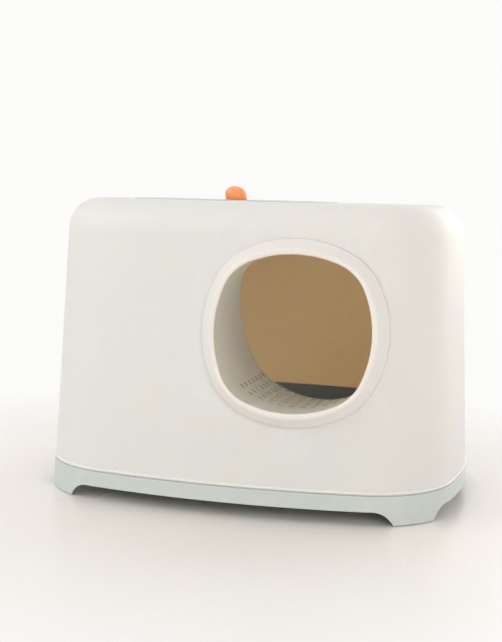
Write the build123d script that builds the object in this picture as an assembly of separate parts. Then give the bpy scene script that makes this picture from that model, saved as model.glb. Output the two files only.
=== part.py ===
# Hooded litter box: a deep pan on four corner feet, a tall hood with a round entry
# tunnel, and a lift-off lid with a filter under it.
# Millimetres, +Z up, the entry faces -Y. The pieces are drawn round the middle of the
# hood's plan at floor level. Last, all move back a little, to centre the overall depth.
from build123d import *
from math import atan2, copysign, cos, degrees, hypot, radians, sin, sqrt, tan
import os

os.makedirs("parts", exist_ok=True)

# Plan outline, measured round the foot of the hood
WIDTH = 540.0
DEPTH = 403.0
FRONT_BOW = 13.2
SIDE_BOW = 5.5
CORNER_R = 118.0

# Hood
HOOD_TOP = 378.6
SEAM_Z = 38.0
DRAFT = 2.865
TOP_ROUND = 39.0
WALL = 2.6
BEAD_H = 3.6
BEAD_OUT = 1.0

# Base pan
LEDGE_Z = 36.6
BASE_STEP = 1.4
SKIRT_Z = 17.7
FOOT_EDGE_Z = 1.0
LEDGE_ROUND = 1.2
PAN_Z = 12.0
PAN_RIM_Z = 104.0
PAN_DRAFT = 2.0
PAN_ROUND = 18.0
RIM_GAP = 1.6
RIM_H = 4.0
RIM_OUT = 1.4
RIDGE_H = 3.5
FOOT_X = 208.0
FOOT_Y = 131.0
FOOT_SLOPE = 12.0
FOOT_ROUND = 26.0
RIB = 2.0
PAD_R = 5.4
PAD_H = 3.4
PAD_INSET = 2.4

# Entry: centre, half sizes of the round-cornered square outlines, heights off the hood.
# A shape is an outline's bow and corner radius as shares of its half size, and the power
# of the rounded-square curve that runs along it.
ENTRY_X = 83.0
ENTRY_Z = 226.0
MOUTH = 93.4
MOUTH_SHAPE = (0.066, 0.60, 2.5)
RING = 111.3
RING_SHAPE = (0.050, 0.73, 2.26)
LIP_OUT = 16.2
RING_SLOPE = 11.2
CREST_ROUND = 4.0
MOUTH_ROLL = 2.2
RING_EDGE_ROUND = 1.2
RING_WALL = 2.2
RIM_DEEP = 6.0
SEAM_GAP = 0.12
TUNNEL_WALL = 2.4
TUNNEL_DEEP = 118.0
TUNNEL_SLANT = 62.0
TUNNEL_SHORT = 36.0
END_ROUND = 0.8
FLANGE = 2.4
SLOT_ROWS = 12
SLOTS_IN_ROW = 7
ROW_PITCH = 13.5
SLOT_PITCH = 10.0
SLOT_LONG = 6.4
SLOT_WIDE = 4.0
SLOT_START = 44.0
SLOT_MARGIN = 8.0

# Screws that hold the ring, the tunnel flange and the hood wall together
SCREW_COUNT = 6
SCREW_R = 1.5
SCREW_HOLE_R = 1.7
SCREW_CORE_R = 1.55
SCREW_HEAD_R = 3.0
SCREW_HEAD_H = 2.0
SCREW_BITE = 6.0
SEAT_R = 4.5
SEAT_H = 3.2

# Lid, grip and filter
LID_X = -48.0
LID_W = 279.0
LID_D = 196.0
LID_CORNER = 62.0
LID_FRONT_BOW = 14.0
LID_SIDE_BOW = 12.0
LID_PROUD = 1.0
LID_PLATE = 2.4
LID_SEAT = 2.0
LID_GAP = 0.5
SHELF = 8.0
LID_SKIRT_H = 8.0
GRIP_R = 14.8
GRIP_H = 19.3
GRIP_LEAN = 20.0
GRIP_FOOT = 0.4
GRIP_SIDE = 4.0
GRIP_X = 1.1
GRIP_SCREW_R = 2.0
VENTS = 7
VENT_PITCH = 7.5
VENT_LONG = 52.0
VENT_WIDE = 3.0
VENT_X = 46.0
FRAME_W = 176.0
FRAME_D = 116.0
FRAME_H = 11.4
FRAME_WALL = 1.8
POST_R = 4.6


def outline(width, depth, bow_front, bow_side, corner, grow=0.0):
    """Closed outline of four shallow arcs and four tangent corner arcs."""
    cx = width / 2 - corner - bow_side
    cy = depth / 2 - corner - bow_front
    rf = (cx * cx + bow_front * bow_front) / (2 * bow_front)
    rs = (cy * cy + bow_side * bow_side) / (2 * bow_side)
    r = corner + grow
    to_front = Vector(cx, cy + rf - depth / 2 + corner, 0).normalized()
    to_side = Vector(cx + rs - width / 2 + corner, cy, 0).normalized()
    between = (to_front + to_side).normalized()

    def at(sx, sy, way):
        return (sx * (cx + r * way.X), sy * (cy + r * way.Y))

    half_w = width / 2 + grow
    half_d = depth / 2 + grow
    arcs = []
    for sx, sy in ((1, 1), (-1, 1), (-1, -1), (1, -1)):
        arcs.append(ThreePointArc(at(sx, sy, to_side), at(sx, sy, between), at(sx, sy, to_front)))
    for sy in (1, -1):
        arcs.append(ThreePointArc(at(1, sy, to_front), (0, sy * half_d), at(-1, sy, to_front)))
    for sx in (1, -1):
        arcs.append(ThreePointArc(at(sx, 1, to_side), (sx * half_w, 0), at(sx, -1, to_side)))
    return make_face(Wire(arcs))


def plan(grow=0.0):
    return outline(WIDTH, DEPTH, FRONT_BOW, SIDE_BOW, CORNER_R, grow)


def prism(face, z0, z1, taper=0.0):
    return extrude(Pos(0, 0, z0) * face, amount=z1 - z0, taper=taper)


def skin(grow, z0=SEAM_Z, z1=HOOD_TOP):
    """Solid bounded by the hood's drafted wall, moved outwards by grow."""
    start = grow - (z0 - SEAM_Z) * tan(radians(DRAFT))
    return prism(plan(start), z0, z1, DRAFT)


def face_y(x, z):
    """Y of the hood's front face at a given place."""
    cx = WIDTH / 2 - CORNER_R - SIDE_BOW
    cy = DEPTH / 2 - CORNER_R - FRONT_BOW
    rf = (cx * cx + FRONT_BOW * FRONT_BOW) / (2 * FRONT_BOW)
    r = CORNER_R - (z - SEAM_Z) * tan(radians(DRAFT))
    if abs(x) < cx * (1 + r / rf):
        return rf - DEPTH / 2 + CORNER_R - sqrt((rf + r) ** 2 - x * x)
    return -cy - sqrt(r * r - (abs(x) - cx) ** 2)


def lip_y():
    """Y of the lip at the middle of the entry, from which the tunnel's depths are measured."""
    return face_y(ENTRY_X, ENTRY_Z) - LIP_OUT


def entry_plane(y, shift=0.0):
    return Plane((ENTRY_X + shift, y, ENTRY_Z + shift), x_dir=(1, 0, 0), z_dir=(0, -1, 0))


def entry_face(half, shape, grow=0.0):
    bow, corner, power = shape
    return outline(2 * half, 2 * half, bow * half, bow * half, corner * half, grow)


def entry_prism(half, shape, grow=0.0, y0=-DEPTH, y1=0.0):
    """A rounded square outline of the entry, run front to back."""
    return extrude(entry_plane(y0) * entry_face(half, shape, grow), amount=y0 - y1)


def along_y(radius, x, z, y0, y1):
    return Pos(x, (y0 + y1) / 2, z) * Rot(90, 0, 0) * Cylinder(radius, abs(y1 - y0))


def entry_size(edge, power):
    """Half size of the entry outline that passes through the middle of an edge."""
    mid = edge @ 0.5
    return (abs(mid.X - ENTRY_X) ** power + abs(mid.Z - ENTRY_Z) ** power) ** (1 / power)


def rim_edges(body, out, half, shape):
    """Edges of a body that lie at a height off the hood's face and along an entry outline."""
    found = []
    for edge in body.edges():
        mid = edge @ 0.5
        level = abs(face_y(mid.X, mid.Z) - out - mid.Y) < 0.3 * out
        if level and mid.Y < 0 and abs(entry_size(edge, shape[2]) - half) < 1.6:
            found.append(edge)
    return found


def entry_spot(half, shape, angle):
    """Place on an entry outline, from its middle, at an angle from +X."""
    power = shape[2]
    x = cos(radians(angle))
    z = sin(radians(angle))
    reach = half / (abs(x) ** power + abs(z) ** power) ** (1 / power)
    return reach * x, reach * z


def screw_spots():
    """Places of the ring screws, midway across the ring's hollow."""
    inner = MOUTH + TUNNEL_WALL + SEAM_GAP + RING_WALL
    mid = (inner + RING - RING_WALL) / 2
    spots = [entry_spot(mid, RING_SHAPE, 30 + 360 * i / SCREW_COUNT) for i in range(SCREW_COUNT)]
    return [(ENTRY_X + x, ENTRY_Z + z) for x, z in spots]


def lid_face(grow=0.0):
    flat = outline(LID_W, LID_D, LID_FRONT_BOW, LID_SIDE_BOW, LID_CORNER, grow)
    return Pos(LID_X, 0, 0) * flat


def foot_windows():
    """Prisms that open the skirt between the feet."""
    top = SKIRT_Z
    solids = []
    for reach, turn, span in ((FOOT_X, 0, DEPTH + 60), (FOOT_Y, 90, WIDTH + 60)):
        low = (-reach - FOOT_SLOPE, -top), (reach + FOOT_SLOPE, -top)
        high = (reach - FOOT_SLOPE, top), (-reach + FOOT_SLOPE, top)
        shape = make_face(Polyline(*low, *high, close=True))
        corners = shape.vertices().group_by(Axis.Y)[-1]
        shape = fillet(corners, FOOT_ROUND)
        window = extrude(Plane.XZ * shape, amount=span / 2, both=True)
        solids.append(Rot(0, 0, turn) * window)
    return solids


def pan_grow(z):
    """How far the pan's outer wall stands outside the plan outline, at height z."""
    hood_inside = -(PAN_RIM_Z - SEAM_Z) * tan(radians(DRAFT)) - WALL
    return hood_inside - RIM_GAP - RIM_OUT - (PAN_RIM_Z - z) * tan(radians(PAN_DRAFT))


def pad_spots():
    """Places of the foot pads, just inside the skirt at the corners."""
    cx = WIDTH / 2 - CORNER_R - SIDE_BOW
    cy = DEPTH / 2 - CORNER_R - FRONT_BOW
    reach = (CORNER_R + BASE_STEP - WALL - PAD_R - PAD_INSET) / sqrt(2)
    return [(sx * (cx + reach), sy * (cy + reach)) for sy in (-1, 1) for sx in (-1, 1)]


def pan_solid(step=0.0):
    """The pan's outside shape, or its inside shape one wall further in."""
    low = PAN_Z + step
    body = prism(plan(pan_grow(low) - step), low, PAN_RIM_Z + 2 * step, -PAN_DRAFT)
    return fillet(body.edges().group_by(Axis.Z)[0], PAN_ROUND - step)


def make_base_pan():
    outer = pan_solid()
    inner = pan_solid(WALL)
    skirt = prism(plan(BASE_STEP), FOOT_EDGE_Z, LEDGE_Z)
    skirt = fillet(skirt.edges().group_by(Axis.Z)[-1], LEDGE_ROUND)
    skirt -= prism(plan(BASE_STEP - WALL), 0, LEDGE_Z - WALL)
    for window in foot_windows():
        skirt -= window
    hollow = prism(plan(BASE_STEP - WALL / 2), PAN_Z, LEDGE_Z - WALL / 2) - outer
    cx = WIDTH / 2 - CORNER_R - SIDE_BOW
    cy = DEPTH / 2 - CORNER_R - FRONT_BOW
    blades = []
    for i in range(-2, 3):
        blades.append(Pos(i * cx / 2, 0, LEDGE_Z) * Box(RIB, 2 * DEPTH, 2 * (LEDGE_Z - SKIRT_Z - 1)))
    for i in (-1, 0, 1):
        blades.append(Pos(0, i * cy, LEDGE_Z) * Box(2 * WIDTH, RIB, 2 * (LEDGE_Z - SKIRT_Z - 1)))
    for sx in (-1, 1):
        for sy in (-1, 1):
            for turn in (28, 62):
                blade = Pos(CORNER_R, 0, LEDGE_Z) * Box(60, RIB, 2 * (LEDGE_Z - PAN_Z - 1))
                angle = turn if sx * sy > 0 else -turn
                if sx < 0:
                    angle += 180
                blades.append(Pos(sx * cx, sy * cy, 0) * Rot(0, 0, angle) * blade)
    ribs = hollow & (Part() + blades)
    body = skirt + outer + ribs
    for x, y in pad_spots():
        body += Pos(x, y, 0) * extrude(Pos(0, 0, PAD_H - 0.4) * Circle(PAD_R + 0.6), amount=LEDGE_Z - PAD_H)
    rim = prism(plan(pan_grow(PAN_RIM_Z) + RIM_OUT), PAN_RIM_Z - RIM_H, PAN_RIM_Z)
    body += fillet(rim.edges().group_by(Axis.Z)[-1] + rim.edges().group_by(Axis.Z)[0], 0.9)
    ridge = prism(plan(-WALL - 0.6), LEDGE_Z - 1, LEDGE_Z + RIDGE_H)
    body += ridge - prism(plan(-WALL - 2.4), LEDGE_Z - 2, LEDGE_Z + RIDGE_H + 1)
    body -= inner
    for x, y in pad_spots():
        body -= Pos(x, y, 0) * extrude(Circle(2.6), amount=PAD_H + 6)
    return body


def make_foot_pads():
    disc = Pos(0, 0, (PAD_H - 0.4) / 2) * Cylinder(PAD_R, PAD_H - 0.4)
    disc = fillet(disc.edges().group_by(Axis.Z)[0], 0.8)
    stem = Pos(0, 0, PAD_H + 2) * Cylinder(2.55, 5.0)
    pad = disc + stem
    return [Pos(x, y, 0) * pad for x, y in pad_spots()]


def make_hood():
    outer = skin(0.0)
    outer = fillet(outer.edges().group_by(Axis.Z)[-1], TOP_ROUND)
    inner = skin(-WALL, LEDGE_Z - 5, HOOD_TOP - WALL)
    inner = fillet(inner.edges().group_by(Axis.Z)[-1], TOP_ROUND - WALL)
    tongue = prism(plan(-0.6), LEDGE_Z, SEAM_Z + 1)
    bead = prism(plan(BEAD_OUT), SEAM_Z, SEAM_Z + BEAD_H)
    bead = fillet(bead.edges().group_by(Axis.Z)[-1] + bead.edges().group_by(Axis.Z)[0], 0.95)
    body = outer + tongue + bead
    body -= inner
    frame = prism(lid_face(3.0), HOOD_TOP - LID_SEAT - 3.4, HOOD_TOP - WALL / 2)
    body += frame
    for x, z in screw_spots():
        y = face_y(x, z)
        seat = along_y(SEAT_R, x, z, y - 5, y + WALL + SEAT_H)
        body += seat & skin(-WALL / 2)
    body -= prism(lid_face(LID_GAP), HOOD_TOP - LID_SEAT, HOOD_TOP + 5)
    body -= prism(lid_face(-SHELF), HOOD_TOP - 20, HOOD_TOP)
    body -= entry_prism(MOUTH, MOUTH_SHAPE, TUNNEL_WALL + 0.6)
    for x, z in screw_spots():
        body -= along_y(SCREW_HOLE_R, x, z, -DEPTH, 0)
    return body


def ring_solid(inset, slope):
    """The ring's outside, or its hollow one wall further in, with the outer edge sloped off."""
    body = entry_prism(RING, RING_SHAPE, -inset) & (skin(LIP_OUT - inset) - skin(0.0))
    return chamfer(rim_edges(body, LIP_OUT - inset, RING - inset, RING_SHAPE), slope)


def make_entry_ring():
    shell = ring_solid(0.0, RING_SLOPE)
    shell = fillet(rim_edges(shell, LIP_OUT, RING - RING_SLOPE, RING_SHAPE), CREST_ROUND)
    shell = fillet(rim_edges(shell, LIP_OUT - RING_SLOPE, RING, RING_SHAPE), RING_EDGE_ROUND)
    hollow = ring_solid(RING_WALL, RING_SLOPE - (2 - sqrt(2)) * RING_WALL)
    around_tube = TUNNEL_WALL + SEAM_GAP
    lining = entry_prism(MOUTH, MOUTH_SHAPE, around_tube + RING_WALL) & (skin(LIP_OUT - 1) - skin(FLANGE))
    posts = Part()
    for x, z in screw_spots():
        posts += along_y(SCREW_R + 1.7, x, z, -DEPTH, 0)
    body = (shell - hollow) + lining + (posts & shell - skin(FLANGE))
    body -= entry_prism(MOUTH, MOUTH_SHAPE, around_tube) & skin(LIP_OUT - RIM_DEEP)
    body -= entry_prism(MOUTH, MOUTH_SHAPE)
    body = fillet(rim_edges(body, LIP_OUT, MOUTH, MOUTH_SHAPE), MOUTH_ROLL)
    for x, z in screw_spots():
        deep = face_y(x, z) - FLANGE - SCREW_BITE - 0.8
        body -= along_y(SCREW_CORE_R, x, z, deep, 0)
    return body


def end_depth(x, z):
    """Depth behind the lip of the tunnel's slanted inner end, at a place from its middle."""
    return max(TUNNEL_SHORT, TUNNEL_DEEP - TUNNEL_SLANT * (1 + (x + z) / MOUTH))


def beyond_end():
    """What lies behind the tunnel's inner end: its floor and left side reach furthest in."""
    tilt = TUNNEL_SLANT / MOUTH
    slant = Plane((ENTRY_X - MOUTH, lip_y() + TUNNEL_DEEP, ENTRY_Z), z_dir=(tilt, 1, tilt))
    behind = slant * Pos(0, 0, WIDTH) * Box(4 * WIDTH, 4 * WIDTH, 2 * WIDTH)
    return behind & Pos(ENTRY_X, lip_y() + TUNNEL_SHORT + WIDTH, ENTRY_Z) * Box(WIDTH, 2 * WIDTH, WIDTH)


def row_angles():
    """Angles of the slot rows, evenly spaced along the floor to both sides of its middle."""
    angles = []
    angle = -90.0
    left = ROW_PITCH / 2
    for i in range(SLOT_ROWS // 2):
        while left > 0:
            x0, z0 = entry_spot(MOUTH, MOUTH_SHAPE, angle)
            angle += 0.25
            x1, z1 = entry_spot(MOUTH, MOUTH_SHAPE, angle)
            left -= hypot(x1 - x0, z1 - z0)
        left += ROW_PITCH
        angles += [angle, -180 - angle]
    return angles


def floor_slots():
    """Cutters for the rows of slots, spread between the front line and the slanted end."""
    slots = []
    power = MOUTH_SHAPE[2] - 1
    for angle in row_angles():
        x, z = entry_spot(MOUTH, MOUTH_SHAPE, angle)
        facing = degrees(atan2(copysign(abs(z) ** power, z), copysign(abs(x) ** power, x)))
        room = end_depth(x, z) - SLOT_MARGIN - SLOT_START
        count = min(SLOTS_IN_ROW, int(room / SLOT_PITCH) + 1)
        for i in range(count):
            y = lip_y() + SLOT_START + room * i / max(1, count - 1)
            place = Pos(ENTRY_X + x, y, ENTRY_Z + z) * Rot(0, -facing, 0)
            slots.append(place * Box(12, SLOT_WIDE, SLOT_LONG))
    return slots


def make_entry_tunnel():
    tube = entry_prism(MOUTH, MOUTH_SHAPE, TUNNEL_WALL) & skin(LIP_OUT - RIM_DEEP - SEAM_GAP)
    flange = entry_prism(RING, RING_SHAPE, -RING_WALL - 0.3) & (skin(FLANGE) - skin(0.0))
    body = tube + flange - entry_prism(MOUTH, MOUTH_SHAPE) - beyond_end()
    rear = []
    for edge in body.edges():
        mid = edge @ 0.5
        depth = mid.Y - lip_y()
        on_end = abs(depth - end_depth(mid.X - ENTRY_X, mid.Z - ENTRY_Z)) < 0.1
        if on_end and depth > TUNNEL_SHORT + 0.3 and edge.length > 2 * TUNNEL_WALL:
            rear.append(edge)
    body = fillet(rear, END_ROUND)
    body -= floor_slots()
    for x, z in screw_spots():
        body -= along_y(SCREW_HOLE_R, x, z, -DEPTH, face_y(x, z) + WALL)
    return body


def make_ring_screws():
    screws = []
    for x, z in screw_spots():
        y = face_y(x, z)
        seat = y + WALL + SEAT_H
        shank = along_y(SCREW_R, x, z, y - FLANGE - SCREW_BITE, seat)
        head = along_y(SCREW_HEAD_R, x, z, seat, seat + SCREW_HEAD_H)
        head = fillet(head.edges().group_by(Axis.Y)[-1], 0.9)
        cross = Box(3.4, 2.4, 0.8) + Box(0.8, 2.4, 3.4)
        screws.append(shank + head - Pos(x, seat + SCREW_HEAD_H, z) * cross)
    return screws


def make_top_lid():
    under = HOOD_TOP + LID_PROUD - LID_PLATE
    seat = HOOD_TOP - LID_SEAT
    body = prism(lid_face(), seat, HOOD_TOP + LID_PROUD)
    body = fillet(body.edges().group_by(Axis.Z)[-1], 1.6)
    body -= prism(lid_face(-WALL), seat - 1, under)
    edge = -SHELF - LID_GAP
    skirt = prism(lid_face(edge), seat - LID_SKIRT_H, under + 0.5)
    body += skirt - prism(lid_face(edge - WALL + 0.6), seat - LID_SKIRT_H - 1, under + 1)
    vents = []
    for side in (-1, 1):
        for i in range(VENTS):
            x = LID_X + side * VENT_X + (i - (VENTS - 1) / 2) * VENT_PITCH
            slot = extrude(SlotOverall(VENT_LONG, VENT_WIDE, rotation=90), amount=20)
            vents.append(Pos(x, 0, HOOD_TOP - 10) * slot)
    body -= vents
    body -= Pos(LID_X, 0, HOOD_TOP) * Cylinder(GRIP_SCREW_R + 0.3, 40)
    return body


def make_lid_grip():
    low = -8.0
    foot = GRIP_R - GRIP_FOOT
    crown = [(GRIP_R * cos(radians(a)), GRIP_SIDE + (GRIP_H - GRIP_SIDE) * sin(radians(a))) for a in (30, 60)]
    with BuildLine() as side:
        Polyline((0, GRIP_H), (0, low), (foot, low), (foot, 0))
        Spline((foot, 0), (GRIP_R, GRIP_SIDE), *crown, (0, GRIP_H), tangents=((0, 1), (-1, 0)))
    knob = revolve(Plane.XZ * make_face(side.line), Axis.Z)
    knob = Rot(0, -GRIP_LEAN, 0) * knob
    knob &= Pos(0, 0, 2 * GRIP_H) * Box(6 * GRIP_R, 6 * GRIP_R, 4 * GRIP_H)
    knob = fillet(knob.edges().group_by(Axis.Z)[0], 0.7)
    knob = Pos(GRIP_X, 0, 0) * knob
    knob -= Cylinder(GRIP_SCREW_R + 0.05, 22)
    return Pos(LID_X, 0, HOOD_TOP + LID_PROUD) * knob


def frame_top():
    return HOOD_TOP + LID_PROUD - LID_PLATE


def make_filter_frame():
    low = frame_top() - FRAME_H
    body = prism(RectangleRounded(FRAME_W, FRAME_D, 14), low, frame_top())
    inside = RectangleRounded(FRAME_W - 2 * FRAME_WALL, FRAME_D - 2 * FRAME_WALL, 14 - FRAME_WALL)
    body -= prism(inside, low + FRAME_WALL, frame_top() + 1)
    windows = []
    for place in GridLocations(FRAME_W / 9, FRAME_D / 4.2, 8, 4):
        windows.append(Pos(0, 0, low) * place * Box(FRAME_W / 9 - 4, FRAME_D / 4.2 - 4, 8))
    body -= windows
    body += prism(Circle(POST_R + 5), low, low + FRAME_WALL)
    body += prism(Circle(POST_R), low, frame_top())
    body -= Pos(0, 0, low) * Cylinder(GRIP_SCREW_R + 0.1, 60)
    return Pos(LID_X, 0, 0) * body


def make_filter_pad():
    low = frame_top() - FRAME_H + FRAME_WALL
    trim = 2 * FRAME_WALL + 1.0
    body = prism(RectangleRounded(FRAME_W - trim, FRAME_D - trim, 12), low, frame_top() - 0.4)
    body -= Pos(0, 0, low) * Cylinder(POST_R + 0.4, 60)
    return Pos(LID_X, 0, 0) * body


def make_grip_screw():
    low = frame_top() - FRAME_H
    shank = prism(Circle(GRIP_SCREW_R), low, HOOD_TOP + LID_PROUD + 9)
    head = prism(Circle(4.0), low - 2.4, low)
    head = fillet(head.edges().group_by(Axis.Z)[0], 1.1)
    cross = Box(4.4, 0.9, 2.6) + Box(0.9, 4.4, 2.6)
    return Pos(LID_X, 0, 0) * (shank + head - Pos(0, 0, low - 2.4) * cross)


def overall_y(shapes):
    boxes = [shape.bounding_box() for shape in shapes]
    return min(box.min.Y for box in boxes), max(box.max.Y for box in boxes)


corners = ("front_left", "front_right", "back_left", "back_right")
pieces = {f"foot_pad_{corner}": pad for corner, pad in zip(corners, make_foot_pads())}
pieces["base_pan"] = make_base_pan()
pieces["hood"] = make_hood()
pieces["entry_ring"] = make_entry_ring()
pieces["entry_tunnel"] = make_entry_tunnel()
pieces["ring_screws"] = Compound(make_ring_screws())
pieces["top_lid"] = make_top_lid()
pieces["lid_grip"] = make_lid_grip()
pieces["grip_screw"] = make_grip_screw()
pieces["filter_frame"] = make_filter_frame()
pieces["filter_pad"] = make_filter_pad()

# The ring stands out in front, so the origin moves to the middle of the overall depth.
front, back = overall_y([pieces["entry_ring"], pieces["base_pan"]])
centred = Pos(0, -(front + back) / 2, 0)

for name, piece in pieces.items():
    solids = [centred * solid for solid in piece.solids()]
    shape = solids[0] if len(solids) == 1 else Compound(solids)
    shape.label = name
    export_step(shape, f"parts/{name}.step")
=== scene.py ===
"""Looks for the hooded litter box: moulded plastics, carbon foam, rubber feet, and the stage."""
import math

import bmesh
import bpy
from bpy.props import FloatProperty, FloatVectorProperty, IntProperty, PointerProperty
from mathutils import Matrix, Vector, noise


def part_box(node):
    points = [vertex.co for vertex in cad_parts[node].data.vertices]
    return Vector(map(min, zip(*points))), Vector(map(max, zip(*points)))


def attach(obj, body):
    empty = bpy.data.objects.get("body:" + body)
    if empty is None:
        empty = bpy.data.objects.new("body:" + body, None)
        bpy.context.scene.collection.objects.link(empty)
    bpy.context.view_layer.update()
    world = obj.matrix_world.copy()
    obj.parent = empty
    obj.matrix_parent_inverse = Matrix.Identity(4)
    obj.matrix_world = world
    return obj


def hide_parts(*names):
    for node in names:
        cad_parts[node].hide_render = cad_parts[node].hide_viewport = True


bl_info = {
    "name": "Litter box looks",
    "version": (1, 0, 0),
    "blender": (4, 5, 0),
    "location": "View3D > Sidebar > Litter box",
    "description": "Finishes for a hooded litter box and the stage it stands on",
    "category": "Object",
}

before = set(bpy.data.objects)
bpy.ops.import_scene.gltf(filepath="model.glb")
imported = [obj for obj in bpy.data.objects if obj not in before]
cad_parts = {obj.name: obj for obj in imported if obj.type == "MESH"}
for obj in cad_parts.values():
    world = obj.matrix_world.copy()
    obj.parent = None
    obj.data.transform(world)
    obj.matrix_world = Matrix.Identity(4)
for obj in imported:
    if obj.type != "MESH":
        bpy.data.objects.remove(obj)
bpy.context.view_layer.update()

# Optics of the plastics
PLASTIC_IOR = 1.49
WALL_GLOW_RADIUS = (1.0, 0.68, 0.39)
GRIP_GLOW_RADIUS = (1.0, 0.35, 0.12)

# Sizes that the knob and the foam are built from, in metres
GRIP_FOOT_ROUND = 0.0007
GRIP_FOOT_INSET = 0.0003
# Height over which shade is painted at the grip's foot, where it meets the lid
GRIP_FOOT_SHADE_HEIGHT = 0.0045
GRIP_SEGMENTS = 72
FOAM_CORNER = 0.011
FOAM_POST_HOLE = 0.0050
FOAM_INSET = 0.0006
FOAM_WALL_CUTS = 7


# Nodes that the materials share

def linear(colour):
    """A screen colour, 0 to 1, as the linear colour that the shader takes."""
    steps = [c / 12.92 if c <= 0.04045 else ((c + 0.055) / 1.055) ** 2.4 for c in colour[:3]]
    return (*steps, 1.0)


def shifted(colour, red, green=None, blue=None):
    """The screen colour with each channel moved; one number moves all three."""
    steps = (red, red, red) if green is None else (red, green, blue)
    return [min(1.0, c + step) for c, step in zip(colour, steps)]


def object_place(tree):
    return tree.nodes.new("ShaderNodeTexCoord").outputs["Object"]


def feed(tree, value, socket):
    """Sets a socket to a number or a colour, or links an output to it."""
    if isinstance(value, bpy.types.NodeSocket):
        tree.links.new(value, socket)
    else:
        socket.default_value = value


def noise_node(tree, vector, scale, detail, roughness=0.5):
    node = tree.nodes.new("ShaderNodeTexNoise")
    node.inputs["Detail"].default_value = detail
    node.inputs["Roughness"].default_value = roughness
    feed(tree, scale, node.inputs["Scale"])
    tree.links.new(vector, node.inputs["Vector"])
    return node.outputs["Fac"]


def ramp_node(tree, value, low, high):
    """0 where the value is at low, 1 where it is at high."""
    node = tree.nodes.new("ShaderNodeMapRange")
    node.inputs["From Min"].default_value = low
    node.inputs["From Max"].default_value = high
    tree.links.new(value, node.inputs["Value"])
    return node.outputs["Result"]


def math_node(tree, operation, a, b):
    node = tree.nodes.new("ShaderNodeMath")
    node.operation = operation
    feed(tree, a, node.inputs[0])
    feed(tree, b, node.inputs[1])
    return node.outputs[0]


def mix_node(tree, factor, first, second):
    """Blends from the first colour to the second by the factor."""
    node = tree.nodes.new("ShaderNodeMix")
    node.data_type = "RGBA"
    tree.links.new(factor, node.inputs["Factor"])
    feed(tree, first, node.inputs["A"])
    feed(tree, second, node.inputs["B"])
    return node.outputs["Result"]


def vector_node(tree, operation, vector):
    node = tree.nodes.new("ShaderNodeVectorMath")
    node.operation = operation
    tree.links.new(vector, node.inputs[0])
    return node


# Shared effects

def new_group(name, inputs, outputs):
    tree = bpy.data.node_groups.new(name, "ShaderNodeTree")
    for kind, label, value in inputs:
        socket = tree.interface.new_socket(name=label, in_out="INPUT", socket_type=kind)
        socket.default_value = value
    for kind, label in outputs:
        tree.interface.new_socket(name=label, in_out="OUTPUT", socket_type=kind)
    return tree, tree.nodes.new("NodeGroupInput"), tree.nodes.new("NodeGroupOutput")


def spark_grain_group():
    """Fine spark-eroded mould texture, as a height and as a roughness change."""
    tree, entry, end = new_group(
        "Spark grain",
        [("NodeSocketFloat", "Grain size", 1400.0), ("NodeSocketFloat", "Roughness change", 0.06)],
        [("NodeSocketFloat", "Height"), ("NodeSocketFloat", "Roughness shift")],
    )
    place = object_place(tree)
    fine = noise_node(tree, place, entry.outputs["Grain size"], 2.0, 0.6)
    broad = noise_node(tree, place, 95.0, 3.0, 0.55)
    height = math_node(tree, "ADD", fine, math_node(tree, "MULTIPLY", broad, 0.35))
    tree.links.new(height, end.inputs["Height"])
    centred = math_node(tree, "SUBTRACT", broad, 0.5)
    shift = math_node(tree, "MULTIPLY", centred, entry.outputs["Roughness change"])
    tree.links.new(shift, end.inputs["Roughness shift"])
    return tree


def flow_tone_group():
    """Slow drift of tone across a large moulding, with faint mottling from the resin."""
    tree, entry, end = new_group(
        "Flow tone",
        [("NodeSocketColor", "Colour", (0.8, 0.8, 0.8, 1)),
         ("NodeSocketColor", "Drift colour", (0.7, 0.7, 0.7, 1)),
         ("NodeSocketFloat", "Drift", 0.25),
         ("NodeSocketFloat", "Mottle", 0.03)],
        [("NodeSocketColor", "Colour")],
    )
    place = object_place(tree)
    slow = ramp_node(tree, noise_node(tree, place, 3.2, 2.0), 0.3, 0.7)
    amount = math_node(tree, "MULTIPLY", slow, entry.outputs["Drift"])
    drift = mix_node(tree, amount, entry.outputs["Colour"], entry.outputs["Drift colour"])
    spots = math_node(tree, "SUBTRACT", noise_node(tree, place, 420.0, 3.0, 0.65), 0.5)
    swing = math_node(tree, "MULTIPLY", spots, entry.outputs["Mottle"])
    tint = vector_node(tree, "SCALE", drift)
    tree.links.new(math_node(tree, "ADD", swing, 1.0), tint.inputs["Scale"])
    tree.links.new(tint.outputs["Vector"], end.inputs["Colour"])
    return tree


def worn_edge_group():
    """Mask of the convex edges that hands and cleaning have smoothed."""
    tree, entry, end = new_group(
        "Worn edge",
        [("NodeSocketFloat", "Amount", 0.5)],
        [("NodeSocketFloat", "Mask")],
    )
    geometry = tree.nodes.new("ShaderNodeNewGeometry")
    edge = ramp_node(tree, geometry.outputs["Pointiness"], 0.515, 0.60)
    broken = ramp_node(tree, noise_node(tree, object_place(tree), 60.0, 4.0, 0.6), 0.35, 0.65)
    worn = math_node(tree, "MULTIPLY", edge, broken)
    tree.links.new(math_node(tree, "MULTIPLY", worn, entry.outputs["Amount"]), end.inputs["Mask"])
    return tree


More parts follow.
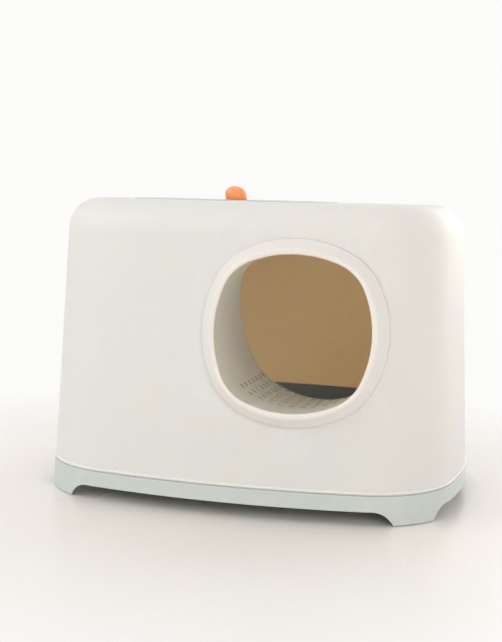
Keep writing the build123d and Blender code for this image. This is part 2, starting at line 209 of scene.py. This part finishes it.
def rub_mark_group():
    """Mask of faint, short rub marks left by wiping."""
    tree, entry, end = new_group(
        "Rub marks",
        [("NodeSocketFloat", "Amount", 0.5), ("NodeSocketVector", "Stretch", (14.0, 14.0, 160.0))],
        [("NodeSocketFloat", "Mask")],
    )
    place = object_place(tree)
    stretched = vector_node(tree, "MULTIPLY", place)
    tree.links.new(entry.outputs["Stretch"], stretched.inputs[1])
    streak = ramp_node(tree, noise_node(tree, stretched.outputs["Vector"], 1.0, 4.0, 0.6), 0.56, 0.74)
    area = ramp_node(tree, noise_node(tree, place, 7.0, 2.0), 0.42, 0.62)
    marks = math_node(tree, "MULTIPLY", streak, area)
    tree.links.new(math_node(tree, "MULTIPLY", marks, entry.outputs["Amount"]), end.inputs["Mask"])
    return tree


def recess_shade_group():
    """Mask of narrow slots and inside corners, found by ambient occlusion, where shade is painted."""
    tree, entry, end = new_group(
        "Recess shade",
        [("NodeSocketFloat", "Amount", 0.5)],
        [("NodeSocketFloat", "Mask")],
    )
    # Painted shade: ambient occlusion picks out the slots and inside corners to be darkened
    recess = tree.nodes.new("ShaderNodeAmbientOcclusion")
    recess.samples = 12
    recess.only_local = True
    recess.inputs["Distance"].default_value = 0.008
    hidden = ramp_node(tree, math_node(tree, "SUBTRACT", 1.0, recess.outputs["AO"]), 0.12, 0.4)
    tree.links.new(math_node(tree, "MULTIPLY", hidden, entry.outputs["Amount"]), end.inputs["Mask"])
    return tree


EFFECT_MAKERS = {
    "grain": spark_grain_group,
    "tone": flow_tone_group,
    "edge": worn_edge_group,
    "rub": rub_mark_group,
    "recess_shade": recess_shade_group,
}
EFFECTS = {}


def effect(tree, name, **values):
    """Places one shared effect in a material, with its own values."""
    if name not in EFFECTS:
        EFFECTS[name] = EFFECT_MAKERS[name]()
    node = tree.nodes.new("ShaderNodeGroup")
    node.node_tree = EFFECTS[name]
    for label, value in values.items():
        node.inputs[label.replace("_", " ")].default_value = value
    return node


# Finishes of the box's own pieces

def new_material(name):
    material = bpy.data.materials.new(name)
    material.use_nodes = True
    tree = material.node_tree
    return material, tree, tree.nodes["Principled BSDF"]


def bump(tree, shader, height, depth):
    node = tree.nodes.new("ShaderNodeBump")
    node.inputs["Distance"].default_value = depth
    node.inputs["Strength"].default_value = 1.0
    tree.links.new(height, node.inputs["Height"])
    tree.links.new(node.outputs["Normal"], shader.inputs["Normal"])


def let_light_in(shader, share, radius, reach):
    """Lets a share of the light into a plastic wall, each colour as far as the radius says."""
    shader.inputs["Subsurface Weight"].default_value = share
    shader.inputs["Subsurface Radius"].default_value = radius
    shader.inputs["Subsurface Scale"].default_value = reach


def moulded_plastic(name, colour, drift_colour, roughness, depth, grain=1400.0, drift=0.25,
                    glow=0.0, reach=0.0, recess_shade=0.0):
    """Injection-moulded plastic with mould grain, tone drift, rub marks and smoothed edges.

    glow is the share of light that the wall lets in, and reach how far red light gets, in
    metres. The last argument is how strongly shade is painted into its slots and inside corners.
    """
    wear = 0.35
    # Brown that the painted shade in slots and inside corners darkens towards
    recess_shade_colour = (0.40, 0.34, 0.26)
    material, tree, shader = new_material(name)
    tone = effect(tree, "tone", Colour=linear(colour), Drift_colour=linear(drift_colour), Drift=drift)
    edge = effect(tree, "edge", Amount=wear).outputs["Mask"]
    rub = effect(tree, "rub", Amount=wear).outputs["Mask"]
    grains = effect(tree, "grain", Grain_size=grain)
    surface = mix_node(tree, edge, tone.outputs["Colour"], linear(shifted(colour, 0.06)))
    # Painted shade: the colour darkens towards the brown in slots and inside corners found by ambient
    # occlusion
    if recess_shade:
        painted_recess_shade = effect(tree, "recess_shade", Amount=recess_shade).outputs["Mask"]
        surface = mix_node(tree, painted_recess_shade, surface, linear(recess_shade_colour))
    tree.links.new(surface, shader.inputs["Base Color"])
    rough = math_node(tree, "ADD", grains.outputs["Roughness shift"], roughness)
    rough = math_node(tree, "SUBTRACT", rough, math_node(tree, "MULTIPLY", rub, 0.14))
    rough = math_node(tree, "SUBTRACT", rough, math_node(tree, "MULTIPLY", edge, 0.18))
    tree.links.new(rough, shader.inputs["Roughness"])
    bump(tree, shader, grains.outputs["Height"], depth)
    shader.inputs["IOR"].default_value = PLASTIC_IOR
    if glow:
        let_light_in(shader, glow, WALL_GLOW_RADIUS, reach)
    return material


def grip_plastic(name, colour, satin, foot, top):
    """Smooth orange plastic, lighter towards its crown by painted light and darker where it meets the lid
    by painted shade.
    """
    material, tree, shader = new_material(name)
    split = tree.nodes.new("ShaderNodeSeparateXYZ")
    tree.links.new(object_place(tree), split.inputs["Vector"])
    height = split.outputs["Z"]
    # Painted light and shade: lighter towards the crown, as if lit from above, and darker near the foot, as
    # if shaded by the lid
    crown = ramp_node(tree, height, foot + 0.2 * (top - foot), top)
    painted_foot_shade_mask = ramp_node(tree, height, foot + GRIP_FOOT_SHADE_HEIGHT, foot)
    drifted = linear(shifted(colour, 0.0, -0.03, -0.04))
    tone = effect(tree, "tone", Colour=linear(colour), Drift_colour=drifted)
    with_painted_top_light = mix_node(tree, crown, tone.outputs["Colour"], linear(shifted(colour, -0.01, 0.07, 0.12)))
    with_painted_foot_shade = mix_node(tree, painted_foot_shade_mask, with_painted_top_light, linear(shifted(colour, 0.0, -0.15, -0.16)))
    tree.links.new(with_painted_foot_shade, shader.inputs["Base Color"])
    grains = effect(tree, "grain", Grain_size=2400.0)
    rub = effect(tree, "rub", Amount=0.6).outputs["Mask"]
    rough = math_node(tree, "ADD", grains.outputs["Roughness shift"], satin)
    rough = math_node(tree, "SUBTRACT", rough, math_node(tree, "MULTIPLY", rub, 0.12))
    tree.links.new(rough, shader.inputs["Roughness"])
    bump(tree, shader, grains.outputs["Height"], 0.00002)
    shader.inputs["IOR"].default_value = PLASTIC_IOR
    let_light_in(shader, 0.35, GRIP_GLOW_RADIUS, 0.004)
    return material


def carbon_foam(name, colour):
    """Open foam filled with carbon: black, dry and full of small pores."""
    material, tree, shader = new_material(name)
    cells = tree.nodes.new("ShaderNodeTexVoronoi")
    cells.inputs["Scale"].default_value = 520.0
    tree.links.new(object_place(tree), cells.inputs["Vector"])
    pores = ramp_node(tree, cells.outputs["Distance"], 0.1, 0.75)
    # Painted shade: each pore's colour darkens towards its middle, where shade falls into the pit
    shade = mix_node(tree, pores, linear([0.35 * c for c in colour]), linear([1.5 * c for c in colour]))
    tree.links.new(shade, shader.inputs["Base Color"])
    rough = math_node(tree, "ADD", math_node(tree, "MULTIPLY", pores, -0.1), 0.97)
    tree.links.new(rough, shader.inputs["Roughness"])
    bump(tree, shader, pores, 0.0008)
    return material


def soft_rubber(name, colour):
    """Soft grey rubber with a dusty bloom."""
    material, tree, shader = new_material(name)
    bloom = linear([0.8 * c for c in colour])
    tone = effect(tree, "tone", Colour=linear(colour), Drift_colour=bloom, Mottle=0.12)
    grains = effect(tree, "grain", Grain_size=2200.0, Roughness_change=0.1)
    tree.links.new(tone.outputs["Colour"], shader.inputs["Base Color"])
    rough = math_node(tree, "ADD", grains.outputs["Roughness shift"], 0.82)
    tree.links.new(rough, shader.inputs["Roughness"])
    bump(tree, shader, grains.outputs["Height"], 0.00008)
    return material


def plated_steel(name, colour):
    """Zinc-plated screw steel, with fine turning lines and a mottled plating."""
    material, tree, shader = new_material(name)
    tone = effect(tree, "tone", Colour=linear(colour), Drift_colour=linear((0.66, 0.65, 0.58)), Mottle=0.2)
    rub = effect(tree, "rub", Amount=0.8, Stretch=(900.0, 60.0, 900.0)).outputs["Mask"]
    tree.links.new(tone.outputs["Colour"], shader.inputs["Base Color"])
    rough = math_node(tree, "ADD", math_node(tree, "MULTIPLY", rub, 0.2), 0.28)
    tree.links.new(rough, shader.inputs["Roughness"])
    shader.inputs["Metallic"].default_value = 1.0
    bump(tree, shader, rub, 0.00003)
    return material


# Sizes and colours that a user would change

def colour_property(name, description, default):
    return FloatVectorProperty(name=name, description=f"{description}, as a screen colour", subtype="COLOR",
                               size=3, min=0.0, max=1.0, default=default)


def share_property(name, description, default):
    return FloatProperty(name=name, description=description, subtype="FACTOR", min=0.0, max=1.0,
                         default=default)


def length_property(name, description, default, precision=4):
    return FloatProperty(name=name, description=description, unit="LENGTH", min=0.0, precision=precision,
                         default=default)


def angle_property(name, description, default):
    return FloatProperty(name=name, description=description, subtype="ANGLE", default=default)


def strength_property(name, description, default):
    return FloatProperty(name=name, description=description, min=0.0, default=default)


class LitterBoxFinish(bpy.types.PropertyGroup):
    """Colours and finish of the box's own pieces."""
    mint: colour_property("Mint", "Pale mint grey of the pan and the lid", (0.778, 0.812, 0.800))
    cream: colour_property("Cream", "Warm off-white of the hood", (0.952, 0.904, 0.882))
    entry: colour_property("Entry", "Off-white of the ring", (0.930, 0.902, 0.878))
    # The tunnel's own cream, set warmer and brighter than the ring's by painted light: the warm glow that
    # comes through from inside the hood
    tunnel: colour_property("Tunnel", "Warm off-white of the entry tunnel", (0.970, 0.905, 0.850))
    orange: colour_property("Orange", "Orange of the grip", (0.975, 0.610, 0.340))
    rubber: colour_property("Rubber", "Grey of the foot pads", (0.42, 0.44, 0.43))
    steel: colour_property("Steel", "Tone of the plated screws", (0.74, 0.74, 0.73))
    carbon: colour_property("Carbon", "Tone of the carbon foam", (0.12, 0.12, 0.12))
    matt: share_property("Matt roughness", "Roughness of the grained plastic", 0.48)
    satin: share_property("Satin roughness", "Roughness of the ring, tunnel and grip", 0.36)
    glow: share_property("Glow", "Share of the light that the thin walls let in", 0.92)
    reach: length_property("Glow reach", "How far red light gets into the walls", 0.008)
    # Strength of the shade painted into the tunnel's slots and inside corners
    recess_shade: share_property("Slot shade", "How much dust lies in the tunnel's slots", 0.75)
    grain_depth: length_property("Grain depth", "Depth of the mould grain", 0.00005, precision=6)
    grip_radius: length_property("Grip radius", "Radius of the grip", 0.01469, precision=5)
    grip_side: length_property("Grip side", "Height of the grip's upright side", 0.0068)
    grip_dome: length_property("Grip dome", "Height of the grip's crown", 0.0115)
    grip_lean: angle_property("Grip lean", "Lean of the grip to the left", math.radians(9.2))
    grip_offset: length_property("Grip offset", "How far the grip's foot is from its screw", 0.0011)
    foam_rows: IntProperty(name="Foam rows", description="Rows of points across the filter foam",
                           min=20, max=160, default=84)


class LitterBoxStage(bpy.types.PropertyGroup):
    """Floor, light and camera."""
    floor: colour_property("Floor", "Tone of the pale floor", (0.945, 0.932, 0.915))
    backdrop: colour_property("Backdrop", "Tone behind the box", (0.988, 0.986, 0.980))
    floor_size: length_property("Floor size", "Width of the floor", 14.0)
    floor_clear: length_property("Floor clear", "How far from the box the floor keeps its own tone", 0.33)
    floor_fade: length_property("Floor fade", "How far from the box the floor has the backdrop's tone", 0.8)
    key_power: strength_property("Key light", "Power of the large soft light", 33.0)
    fill_power: strength_property("Fill light", "Power of the low soft light", 20.0)
    window_power: strength_property("Window light", "Power of the soft light behind the box", 23.5)
    sky: strength_property("Sky", "Strength of the even light from all round", 0.73)
    lens: FloatProperty(name="Lens", description="Focal length on a 36 mm sensor", default=66.92, min=10.0)
    eye: FloatVectorProperty(name="Eye", description="Place of the camera", subtype="XYZ", unit="LENGTH",
                             default=(0.41327, -1.54477, 0.39026))
    yaw: angle_property("Yaw", "Turn of the camera from straight ahead", 0.2744)
    pitch: angle_property("Pitch", "Tilt of the camera below level", 0.1075)
    roll: angle_property("Roll", "Roll of the camera", 0.0245)


# Meshes that stand for two of the solids

def link_mesh(name, mesh):
    """Turns a bmesh into an object in the scene."""
    data = bpy.data.meshes.new(name)
    mesh.to_mesh(data)
    mesh.free()
    piece = bpy.data.objects.new(name, data)
    bpy.context.scene.collection.objects.link(piece)
    return piece


def smooth(piece):
    polygons = piece.data.polygons
    polygons.foreach_set("use_smooth", [True] * len(polygons))


def knob_profile(radius, side, dome):
    """Radius and height up the knob: foot, rounded edge, side with a slight belly, crown."""
    edge = GRIP_FOOT_ROUND
    waist = radius - GRIP_FOOT_INSET
    rings = [(0.55 * waist, 0.0), (waist - edge, 0.0)]
    for i in range(1, 6):
        turn = math.radians(90 * i / 5)
        rings.append((waist - edge + edge * math.sin(turn), edge - edge * math.cos(turn)))
    for i in range(1, 9):
        height = edge + (side - edge) * i / 8
        rings.append((radius - GRIP_FOOT_INSET * ((side - height) / side) ** 2, height))
    for i in range(1, 24):
        turn = math.radians(90 * i / 24)
        rings.append((radius * math.cos(turn), side + dome * math.sin(turn)))
    return rings


def grip_knob(name, foot, radius, side, dome, lean):
    """A round knob with a short upright side and a domed crown, leaning to one side."""
    mesh = bmesh.new()
    loops = []
    for ring_radius, height in knob_profile(radius, side, dome):
        loop = []
        for i in range(GRIP_SEGMENTS):
            turn = 2 * math.pi * i / GRIP_SEGMENTS
            across = ring_radius * math.cos(turn) - height * math.tan(lean)
            loop.append(mesh.verts.new(foot + Vector((across, ring_radius * math.sin(turn), height))))
        loops.append(loop)
    for lower, upper in zip(loops, loops[1:]):
        for i in range(GRIP_SEGMENTS):
            j = (i + 1) % GRIP_SEGMENTS
            mesh.faces.new((lower[i], lower[j], upper[j], upper[i]))
    for loop, height in ((loops[0], 0.0), (loops[-1], side + dome)):
        tip = mesh.verts.new(foot + Vector((-height * math.tan(lean), 0, height)))
        for i in range(GRIP_SEGMENTS):
            mesh.faces.new((loop[i], loop[(i + 1) % GRIP_SEGMENTS], tip))
    bmesh.ops.recalc_face_normals(mesh, faces=mesh.faces)
    knob = link_mesh(name, mesh)
    smooth(knob)
    return knob


def foam_point(u, v, side, size, hole):
    """A point on the foam's top or bottom, from its place across the pad, 0 to 1 each way."""
    edge = 0.30 * size.z
    x = (u - 0.5) * size.x
    y = (v - 0.5) * size.y
    inner_x = size.x / 2 - FOAM_CORNER
    inner_y = size.y / 2 - FOAM_CORNER
    over = Vector((max(0.0, abs(x) - inner_x), max(0.0, abs(y) - inner_y)))
    if over.length > FOAM_CORNER:
        over *= FOAM_CORNER / over.length
        x = math.copysign(inner_x + over.x, x)
        y = math.copysign(inner_y + over.y, y)
    in_corner = FOAM_CORNER - over.length if over.length else 1.0
    rim = min(size.x / 2 - abs(x), size.y / 2 - abs(y), in_corner)
    drop = edge * (1 - min(1.0, rim / edge)) ** 2
    away = math.hypot(x, y) - hole
    drop += 0.5 * edge * (1 - min(1.0, max(0.0, away) / edge)) ** 2
    lump = 0.00035 * noise.noise(Vector((x * 190, y * 190, side * 7.0)))
    lump += 0.0002 * noise.noise(Vector((x * 520, y * 520, side * 3.0)))
    return Vector((x, y, side * (size.z / 2 - drop - FOAM_INSET) + lump))


def foam_slab(name, low, high, hole, rows):
    """A foam pad with softly crushed edges, a lumpy top and bottom and a hole for the post."""
    size = high - low
    middle = (low + high) / 2
    columns = round(rows * size.x / size.y)
    mesh = bmesh.new()
    grid = {}
    for side in (-1, 1):
        for i in range(columns + 1):
            for j in range(rows + 1):
                grid[side, i, j] = mesh.verts.new(foam_point(i / columns, j / rows, side, size, hole))
        for i in range(columns):
            for j in range(rows):
                corners = ((i, j), (i + 1, j), (i + 1, j + 1), (i, j + 1))
                ring = [grid[(side, *corner)] for corner in corners]
                mid = sum((v.co for v in ring), Vector()) / 4
                if math.hypot(mid.x, mid.y) > hole:
                    mesh.faces.new(ring if side > 0 else ring[::-1])
    mesh.verts.ensure_lookup_table()
    bmesh.ops.delete(mesh, geom=[v for v in mesh.verts if not v.link_faces], context="VERTS")
    for v in mesh.verts:
        if any(e.is_boundary for e in v.link_edges) and math.hypot(v.co.x, v.co.y) < 2 * hole:
            away = Vector((v.co.x, v.co.y, 0)).normalized() * hole
            v.co.x, v.co.y = away.x, away.y
    hole_edges = [e for e in mesh.edges if e.is_boundary and e.verts[0].co.xy.length < 2 * hole]
    bmesh.ops.bridge_loops(mesh, edges=hole_edges)
    bmesh.ops.bridge_loops(mesh, edges=[e for e in mesh.edges if e.is_boundary])
    walls = [e for e in mesh.edges if abs(e.verts[0].co.z - e.verts[1].co.z) > 0.3 * size.z]
    bmesh.ops.subdivide_edges(mesh, edges=walls, cuts=FOAM_WALL_CUTS, use_grid_fill=False)
    bmesh.ops.recalc_face_normals(mesh, faces=mesh.faces)
    for v in mesh.verts:
        v.co += middle
    slab = link_mesh(name, mesh)
    smooth(slab)
    return slab


# The stage

def seen_directly(tree):
    """1 where the camera, a reflection or a view through glass looks, else 0."""
    path = tree.nodes.new("ShaderNodeLightPath")
    direct = math_node(tree, "MAXIMUM", path.outputs["Is Camera Ray"], path.outputs["Is Glossy Ray"])
    return math_node(tree, "MAXIMUM", direct, path.outputs["Is Transmission Ray"])


def pale_floor(stage):
    """Plain pale floor that fades into the backdrop's colour away from the box."""
    material, tree, shader = new_material("floor_pale")
    place = object_place(tree)
    cloud = noise_node(tree, place, 1.6, 3.0, 0.55)
    patches = ramp_node(tree, cloud, 0.35, 0.65)
    tone = mix_node(tree, patches, linear(stage.floor), linear(shifted(stage.floor, -0.02)))
    tree.links.new(tone, shader.inputs["Base Color"])
    rough = math_node(tree, "ADD", math_node(tree, "MULTIPLY", cloud, 0.06), 0.24)
    tree.links.new(rough, shader.inputs["Roughness"])
    distance = vector_node(tree, "LENGTH", place)
    far = ramp_node(tree, distance.outputs["Value"], stage.floor_clear, stage.floor_fade)
    backdrop = tree.nodes.new("ShaderNodeEmission")
    backdrop.inputs["Color"].default_value = linear(stage.backdrop)
    blend = tree.nodes.new("ShaderNodeMixShader")
    tree.links.new(math_node(tree, "MULTIPLY", far, seen_directly(tree)), blend.inputs["Fac"])
    tree.links.new(shader.outputs["BSDF"], blend.inputs[1])
    tree.links.new(backdrop.outputs["Emission"], blend.inputs[2])
    tree.links.new(blend.outputs["Shader"], tree.nodes["Material Output"].inputs["Surface"])
    return material


def soft_lamp(name, place, size, power, tint):
    """A large soft light that points at the middle of the box."""
    lamp = bpy.data.lights.new(name, "AREA")
    lamp.shape = "RECTANGLE"
    lamp.size, lamp.size_y = size
    lamp.energy = power
    lamp.color = tint
    aim = Vector((0.0, 0.0, 0.2))
    holder = bpy.data.objects.new(name, lamp)
    holder.location = place
    holder.rotation_euler = (aim - Vector(place)).to_track_quat("-Z", "Y").to_euler()
    bpy.context.scene.collection.objects.link(holder)


def background_node(tree, colour, strength):
    node = tree.nodes.new("ShaderNodeBackground")
    node.inputs["Color"].default_value = colour
    node.inputs["Strength"].default_value = strength
    return node.outputs["Background"]


def even_sky(strength, backdrop):
    """Even light from all round, with the plain backdrop where it is seen directly."""
    world = bpy.data.worlds.new("even_sky")
    world.use_nodes = True
    tree = world.node_tree
    tree.nodes.clear()
    mix = tree.nodes.new("ShaderNodeMixShader")
    out = tree.nodes.new("ShaderNodeOutputWorld")
    tree.links.new(seen_directly(tree), mix.inputs["Fac"])
    tree.links.new(background_node(tree, (1.0, 0.985, 0.965, 1), strength), mix.inputs[1])
    tree.links.new(background_node(tree, linear(backdrop), 1.0), mix.inputs[2])
    tree.links.new(mix.outputs["Shader"], out.inputs["Surface"])
    bpy.context.scene.world = world


def photo_camera(stage):
    """Camera at the photograph's viewing angle."""
    cy, sy = math.cos(stage.yaw), math.sin(stage.yaw)
    cp, sp = math.cos(stage.pitch), math.sin(stage.pitch)
    cr, sr = math.cos(stage.roll), math.sin(stage.roll)
    ahead = Vector((-sy * cp, cy * cp, -sp))
    right = Vector((cy, sy, 0.0))
    up = right.cross(ahead)
    across = cr * right + sr * up
    upward = cr * up - sr * right
    data = bpy.data.cameras.new("camera")
    data.sensor_width = 36.0
    data.sensor_fit = "AUTO"
    data.lens = stage.lens
    camera = bpy.data.objects.new("camera", data)
    turn = Matrix((across, upward, -ahead)).transposed().to_4x4()
    camera.matrix_world = Matrix.Translation(Vector(stage.eye)) @ turn
    bpy.context.scene.collection.objects.link(camera)
    bpy.context.scene.camera = camera


# Operators, one for each piece or group of like pieces

def dress(node, material):
    """Gives a CAD node its material."""
    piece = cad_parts[node]
    for place in piece.material_slots:
        place.material = material


class LITTERBOX_OT_pan(bpy.types.Operator):
    """Finish the pan and its foot pads."""
    bl_idname = "litterbox.pan"
    bl_label = "Pan and foot pads"

    def execute(self, context):
        finish = context.scene.litter_box_finish
        pan = moulded_plastic("pan_mint_plastic", finish.mint, shifted(finish.mint, -0.035), finish.matt,
                              finish.grain_depth)
        dress("base_pan", pan)
        rubber = soft_rubber("foot_pad_rubber", finish.rubber)
        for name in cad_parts:
            if name.startswith("foot_pad"):
                dress(name, rubber)
        return {"FINISHED"}


class LITTERBOX_OT_hood(bpy.types.Operator):
    """Finish the hood."""
    bl_idname = "litterbox.hood"
    bl_label = "Hood"

    def execute(self, context):
        finish = context.scene.litter_box_finish
        drifted = shifted(finish.cream, -0.02, -0.03, -0.045)
        hood = moulded_plastic("hood_cream_plastic", finish.cream, drifted, finish.matt,
                               finish.grain_depth, glow=finish.glow, reach=finish.reach)
        dress("hood", hood)
        return {"FINISHED"}


class LITTERBOX_OT_entry(bpy.types.Operator):
    """Finish the ring, the tunnel and the screws that hold them."""
    bl_idname = "litterbox.entry"
    bl_label = "Entry"

    def execute(self, context):
        finish = context.scene.litter_box_finish
        fine = {"depth": 0.6 * finish.grain_depth, "grain": 1900.0, "reach": finish.reach}
        ring = moulded_plastic("entry_ring_plastic", finish.entry, shifted(finish.entry, -0.02),
                               finish.satin, drift=0.15, glow=0.5 * finish.glow, **fine)
        dress("entry_ring", ring)
        # The tunnel's colour holds painted light, a warm glow from inside the hood, and its slots and
        # inside corners get painted shade
        drifted = shifted(finish.tunnel, -0.01, -0.02, -0.04)
        tunnel = moulded_plastic("entry_tunnel_plastic", finish.tunnel, drifted, finish.satin,
                                 drift=0.3, glow=finish.glow, recess_shade=finish.recess_shade, **fine)
        dress("entry_tunnel", tunnel)
        steel = plated_steel("screw_plated_steel", finish.steel)
        dress("ring_screws", steel)
        dress("grip_screw", steel)
        return {"FINISHED"}


class LITTERBOX_OT_lid(bpy.types.Operator):
    """Finish the lid and the filter frame."""
    bl_idname = "litterbox.lid"
    bl_label = "Lid"

    def execute(self, context):
        finish = context.scene.litter_box_finish
        lid = moulded_plastic("lid_mint_plastic", finish.mint, shifted(finish.mint, -0.03), finish.matt,
                              finish.grain_depth, glow=finish.glow, reach=finish.reach)
        dress("top_lid", lid)
        holder = moulded_plastic("filter_frame_plastic", finish.mint, shifted(finish.mint, -0.05),
                                 finish.matt + 0.06, finish.grain_depth, drift=0.4)
        dress("filter_frame", holder)
        return {"FINISHED"}


class LITTERBOX_OT_grip(bpy.types.Operator):
    """Build the grip's smooth knob over its solid."""
    bl_idname = "litterbox.grip"
    bl_label = "Grip"

    def execute(self, context):
        finish = context.scene.litter_box_finish
        low, high = (Vector(corner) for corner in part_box("grip_screw"))
        foot = (low + high) / 2
        foot.x += finish.grip_offset
        foot.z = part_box("top_lid")[1][2]
        top = foot.z + finish.grip_side + finish.grip_dome
        knob = grip_knob("grip_knob", foot, finish.grip_radius, finish.grip_side, finish.grip_dome,
                         finish.grip_lean)
        plastic = grip_plastic("grip_orange_plastic", finish.orange, finish.satin, foot.z, top)
        knob.data.materials.append(plastic)
        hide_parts("lid_grip")
        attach(knob, "lid")
        return {"FINISHED"}


class LITTERBOX_OT_filter(bpy.types.Operator):
    """Build the carbon foam pad that stands for the plain one."""
    bl_idname = "litterbox.filter"
    bl_label = "Filter foam"

    def execute(self, context):
        finish = context.scene.litter_box_finish
        low, high = (Vector(corner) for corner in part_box("filter_pad"))
        slab = foam_slab("filter_foam", low, high, FOAM_POST_HOLE, finish.foam_rows)
        slab.data.materials.append(carbon_foam("filter_carbon_foam", finish.carbon))
        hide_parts("filter_pad")
        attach(slab, "lid")
        return {"FINISHED"}


class LITTERBOX_OT_stage(bpy.types.Operator):
    """Lay the pale floor, set the soft lights and place the camera."""
    bl_idname = "litterbox.stage"
    bl_label = "Stage"

    def execute(self, context):
        stage = context.scene.litter_box_stage
        mesh = bmesh.new()
        bmesh.ops.create_grid(mesh, x_segments=4, y_segments=4, size=stage.floor_size / 2)
        floor = link_mesh("floor", mesh)
        floor.data.materials.append(pale_floor(stage))
        even_sky(stage.sky, stage.backdrop)
        soft_lamp("key_light", (-2.6, -1.5, 1.8), (2.2, 2.2), stage.key_power, (1.0, 0.99, 0.975))
        soft_lamp("fill_light", (1.6, -2.4, 0.9), (1.8, 1.4), stage.fill_power, (1.0, 0.93, 0.84))
        soft_lamp("window_light", (1.3, 2.2, 0.9), (2.4, 1.5), stage.window_power, (1.0, 0.98, 0.95))
        photo_camera(stage)
        context.scene.view_settings.view_transform = "Standard"
        return {"FINISHED"}


class LITTERBOX_PT_panel(bpy.types.Panel):
    """Lists the litter box's finishes and its stage."""
    bl_label = "Litter box"
    bl_idname = "LITTERBOX_PT_panel"
    bl_space_type = "VIEW_3D"
    bl_region_type = "UI"
    bl_category = "Litter box"

    def draw(self, context):
        layout = self.layout
        for group in (context.scene.litter_box_finish, context.scene.litter_box_stage):
            column = layout.column()
            for name in group.__annotations__:
                column.prop(group, name)
        for operator in OPERATORS:
            layout.operator(operator.bl_idname)


OPERATORS = (
    LITTERBOX_OT_pan,
    LITTERBOX_OT_hood,
    LITTERBOX_OT_entry,
    LITTERBOX_OT_lid,
    LITTERBOX_OT_grip,
    LITTERBOX_OT_filter,
    LITTERBOX_OT_stage,
)
CLASSES = (LitterBoxFinish, LitterBoxStage, *OPERATORS, LITTERBOX_PT_panel)


def register():
    for kind in CLASSES:
        bpy.utils.register_class(kind)
    bpy.types.Scene.litter_box_finish = PointerProperty(type=LitterBoxFinish)
    bpy.types.Scene.litter_box_stage = PointerProperty(type=LitterBoxStage)


def unregister():
    del bpy.types.Scene.litter_box_stage
    del bpy.types.Scene.litter_box_finish
    for kind in reversed(CLASSES):
        bpy.utils.unregister_class(kind)


def main():
    register()
    bpy.ops.litterbox.pan()
    bpy.ops.litterbox.hood()
    bpy.ops.litterbox.entry()
    bpy.ops.litterbox.lid()
    bpy.ops.litterbox.grip()
    bpy.ops.litterbox.filter()
    bpy.ops.litterbox.stage()


if __name__ == "__main__":
    main()
